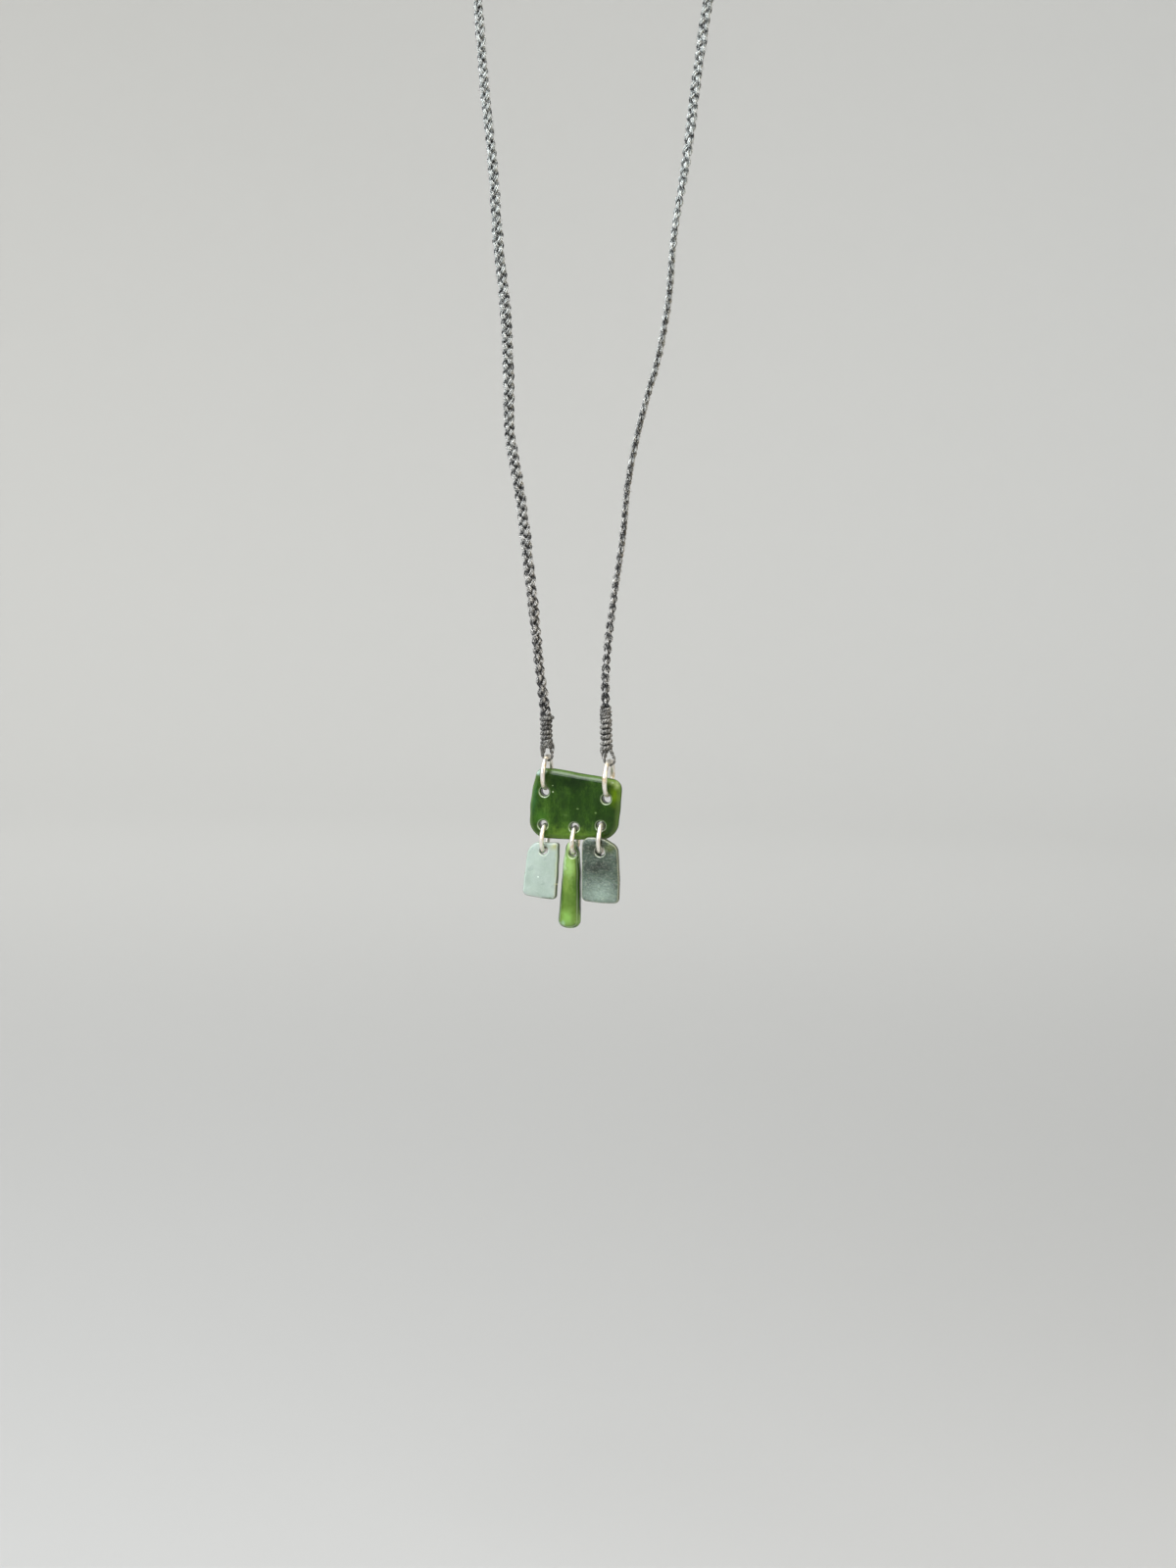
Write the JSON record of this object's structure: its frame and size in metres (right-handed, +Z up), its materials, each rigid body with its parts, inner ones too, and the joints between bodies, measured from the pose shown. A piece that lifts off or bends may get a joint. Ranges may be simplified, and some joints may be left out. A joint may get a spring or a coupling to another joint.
{
  "type": "jade pendant",
  "caption": "Drilled green jade plaque with small jade drops on jump rings below it, hanging by jump rings from the whipped ends of a braided neck cord.",
  "frame": {"origin": "inner side of the neck cord at the top of its loop, where it lies on a neck or a peg", "axes": "+Z up through the hanging loop, +X to the right as seen from the front, front of the stones at -Y"},
  "size_m": [0.067, 0.0085, 0.2872],
  "materials": {
    "cord_braid": "matte twisted yarn, grey with dark gaps",
    "binding_thread": "waxed grey-tan thread",
    "ring_metal": "polished pale gold wire",
    "plaque_jade": "polished deep green jade",
    "left_jade": "satin pale grey-green jade",
    "bar_jade": "polished apple green jade",
    "right_jade": "pebbled satin grey-green jade"
  },
  "bodies": {
    "cord": {"neck_cord": "cord_braid", "whipping_left": "binding_thread", "whipping_right": "binding_thread", "eye_left": "binding_thread", "eye_right": "binding_thread"},
    "pendant": {"ring_upper_left": "ring_metal", "ring_upper_right": "ring_metal", "plaque": "plaque_jade", "ring_lower_left": "ring_metal", "ring_lower_middle": "ring_metal", "ring_lower_right": "ring_metal", "drop_left": "left_jade", "drop_middle": "bar_jade", "drop_right": "right_jade"}
  },
  "joints": [
    {"name": "pendant_swing", "type": "hinge", "parent": "cord", "child": "pendant", "pos_m": [0, 0, -0.248], "axis": [0.9996, 0, -0.0297], "range_deg": [-60, 60]}
  ]
}
